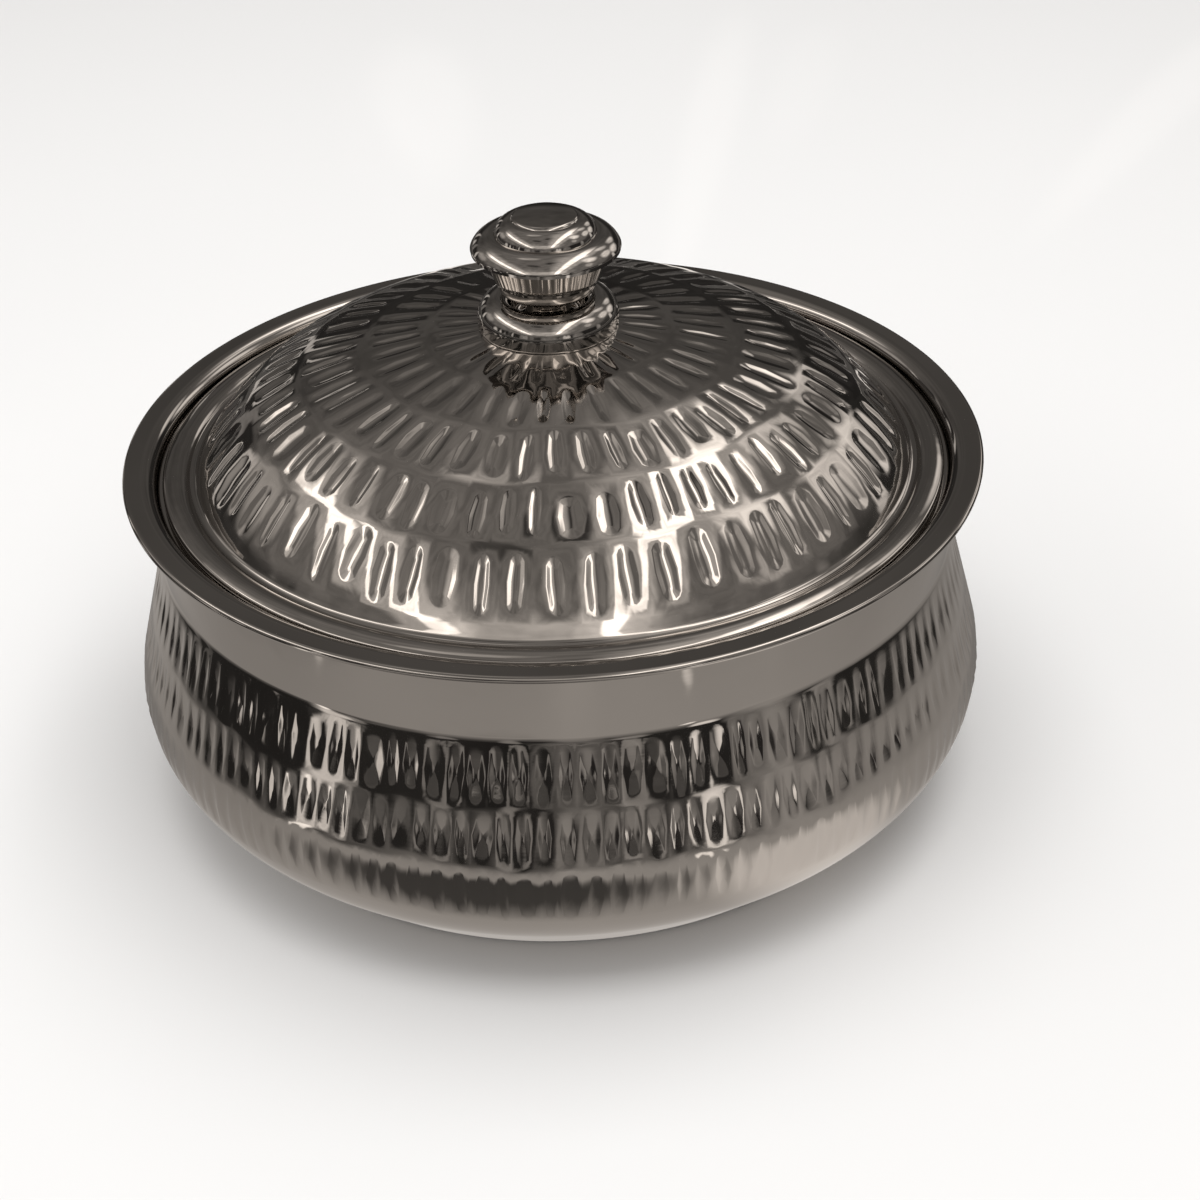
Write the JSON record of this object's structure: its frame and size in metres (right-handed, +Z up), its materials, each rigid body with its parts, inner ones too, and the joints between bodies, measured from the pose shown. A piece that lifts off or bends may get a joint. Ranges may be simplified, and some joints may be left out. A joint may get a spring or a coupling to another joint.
{
  "type": "insulated casserole",
  "caption": "Round double-walled insulated serving casserole for flat breads: bellied hammered steel body, flanged rim, domed lift-off lid and a stepped round knob.",
  "frame": {"origin": "centre of the foot, on the surface the casserole stands on", "axes": "+Z up along the axis of the body and lid; the object is round, so +X (right) and -Y (front, the side the picture faces) are chosen freely"},
  "size_m": [0.2452, 0.2452, 0.1679],
  "materials": {
    "hammered_steel": "hammered and mirror polished stainless sheet",
    "polished_steel": "plain mirror polished stainless sheet",
    "foam": "rigid polyurethane foam",
    "plug": "moulded polyethylene",
    "fastener": "plain stainless fastener"
  },
  "bodies": {
    "body": {"outer_shell": "hammered_steel", "inner_bowl": "polished_steel", "body_insulation": "foam", "base_fill_plug": "plug"},
    "lid": {"lid_cover": "hammered_steel", "lid_liner": "polished_steel", "lid_insulation": "foam", "knob_base_ring": "polished_steel", "knob_cup": "polished_steel", "knob_cap": "polished_steel", "knob_stud": "fastener", "knob_washer": "fastener", "knob_nut": "fastener"}
  },
  "joints": [
    {"name": "lid_lift", "type": "slide", "parent": "body", "child": "lid", "axis": [0, 0, 1], "range_m": [0, 0.1]}
  ]
}
